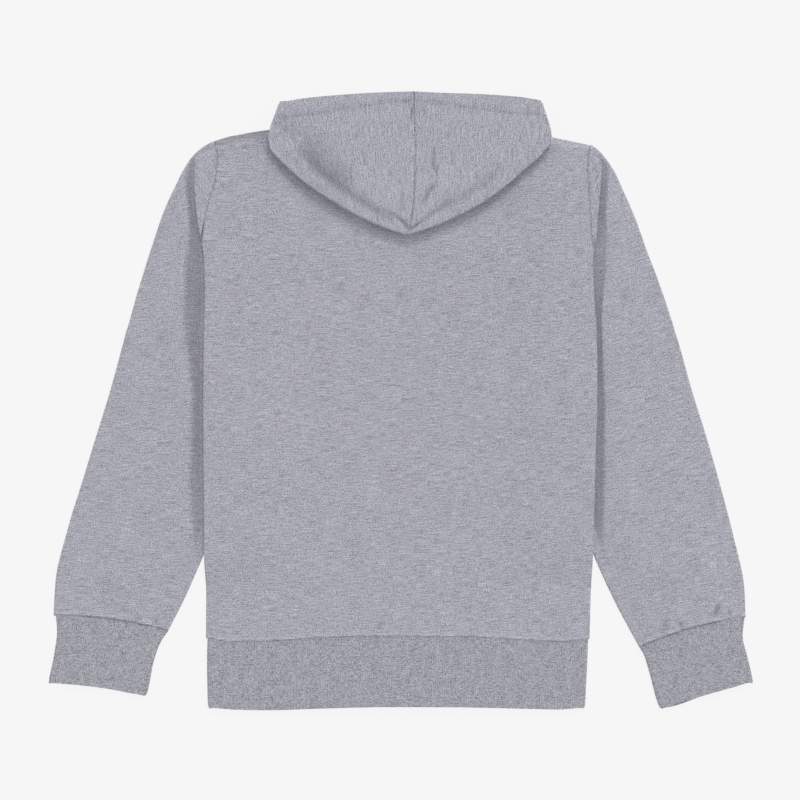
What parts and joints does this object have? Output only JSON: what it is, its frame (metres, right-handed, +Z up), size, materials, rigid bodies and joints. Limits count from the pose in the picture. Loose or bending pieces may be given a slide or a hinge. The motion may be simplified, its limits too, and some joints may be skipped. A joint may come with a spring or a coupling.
{
  "type": "zip-up hoodie",
  "caption": "Long-sleeved hooded sweatshirt with a front zip, rib cuffs and a rib hem band, lying flat on its front with the hood spread over the back.",
  "frame": {"origin": "on the surface the garment lies on, under the middle of its outline", "axes": "+Y towards the hood, +X towards the wearer's right sleeve, +Z up, out of the garment's back, which lies uppermost"},
  "size_m": [0.8104, 0.7106, 0.0212],
  "materials": {
    "marl_terry": "matte grey marl french terry knit",
    "marl_rib": "matte grey marl rib knit",
    "zip_tape": "matte woven tape",
    "zip_chain": "satin nylon coil",
    "zip_metal": "satin nickel plate"
  },
  "bodies": {
    "garment": {"back_panel": "marl_terry", "front_left": "marl_terry", "front_right": "marl_terry", "sleeve_left": "marl_terry", "sleeve_right": "marl_terry", "hood_left": "marl_terry", "hood_right": "marl_terry", "cuff_left": "marl_rib", "cuff_right": "marl_rib", "hem_band": "marl_rib", "zip_tape_left": "zip_tape", "zip_tape_right": "zip_tape", "zip_chain": "zip_chain", "zip_box": "zip_metal", "zip_slider": "zip_metal"},
    "pull_tab": {"zip_pull": "zip_metal"}
  },
  "joints": [
    {"name": "pull_tab_hinge", "type": "hinge", "parent": "garment", "child": "pull_tab", "pos_m": [0, 0.2295, 0.00175], "axis": [1, 0, 0], "range_deg": [0, 150]}
  ]
}
